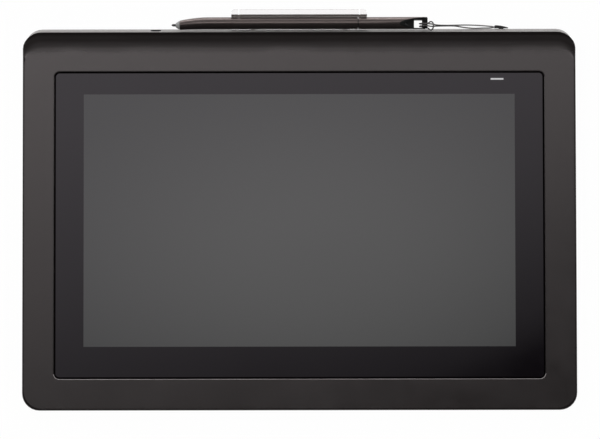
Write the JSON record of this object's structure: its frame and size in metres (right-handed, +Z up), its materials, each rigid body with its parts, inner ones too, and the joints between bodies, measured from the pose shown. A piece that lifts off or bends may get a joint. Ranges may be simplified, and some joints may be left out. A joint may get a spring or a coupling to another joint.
{
  "type": "signature pad",
  "caption": "Desktop signature pad with a wide glass-covered pen display in a wedge-shaped housing, a clear pen holder on its rear wall and a pen on a short cord.",
  "frame": {"origin": "On the table, under the middle of the whole product's box", "axes": "+X to the user's right, along the pad's long side; +Y away from the user, towards the pen; +Z up"},
  "size_m": [0.286, 0.2076, 0.0218],
  "materials": {
    "front_shell": "dark warm grey, fine matte texture",
    "rear_shell": "mid grey satin",
    "printed_glass": "glossy cover glass over a black border and a grey display",
    "display_glass": "unlit display",
    "black_foam": "matte adhesive foam",
    "white_plastic": "matte white",
    "circuit_board": "green solder mask",
    "sheet_steel": "plain pressed sheet",
    "screw_steel": "dark zinc",
    "ribbon_film": "amber flexible film",
    "chip_resin": "black moulded resin",
    "black_plastic": "black, slightly glossy",
    "clear_plastic": "clear polished plastic",
    "tether_fabric": "thin twisted cord",
    "foot_rubber": "matte black",
    "nib_plastic": "dark grey hard plastic",
    "nose_plastic": "light grey satin",
    "pen_plastic": "warm dark grey satin",
    "coil_copper": "wound copper wire"
  },
  "bodies": {
    "pad": {"front_bezel": "front_shell", "rear_cover": "rear_shell", "cover_glass": "printed_glass", "glass_tape": "black_foam", "lcd_panel": "display_glass", "backlight_tray": "white_plastic", "pen_sensor_board": "circuit_board", "shield_plate": "sheet_steel", "display_cable": "ribbon_film", "main_board": "circuit_board", "processor": "chip_resin", "processor_can": "sheet_steel", "sensor_connector": "white_plastic", "power_socket": "black_plastic", "data_socket": "sheet_steel", "indicator_guide": "clear_plastic", "indicator_board": "circuit_board", "lock_plate": "sheet_steel", "pen_holder": "clear_plastic", "tether_lug": "black_plastic", "tether_cord": "tether_fabric", "rubber_foot_1": "foot_rubber", "rubber_foot_2": "foot_rubber", "rubber_foot_3": "foot_rubber", "rubber_foot_4": "foot_rubber", "housing_screw_1": "screw_steel", "housing_screw_2": "screw_steel", "housing_screw_3": "screw_steel", "housing_screw_4": "screw_steel", "housing_screw_5": "screw_steel", "housing_screw_6": "screw_steel", "shield_screw_1": "screw_steel", "shield_screw_2": "screw_steel", "shield_screw_3": "screw_steel", "shield_screw_4": "screw_steel", "board_screw_1": "screw_steel", "board_screw_2": "screw_steel", "board_screw_3": "screw_steel", "board_screw_4": "screw_steel", "holder_screw_1": "screw_steel", "holder_screw_2": "screw_steel"},
    "pen": {"pen_nose_cone": "nose_plastic", "pen_front_barrel": "pen_plastic", "pen_rear_barrel": "pen_plastic", "pen_tail": "black_plastic", "pen_coil": "coil_copper", "pen_pressure_sensor": "white_plastic", "pen_circuit_board": "circuit_board"},
    "nib": {"pen_nib": "nib_plastic"}
  },
  "joints": [
    {"name": "pen_lift", "type": "slide", "parent": "pad", "child": "pen", "axis": [0, -0.0523, 0.9986], "range_m": [0, 0.008], "deforming": ["tether_cord"]},
    {"name": "nib_press", "type": "slide", "parent": "pen", "child": "nib", "axis": [1, 0, 0], "range_m": [0, 0.0003], "stiffness_N_per_m": 1000}
  ]
}
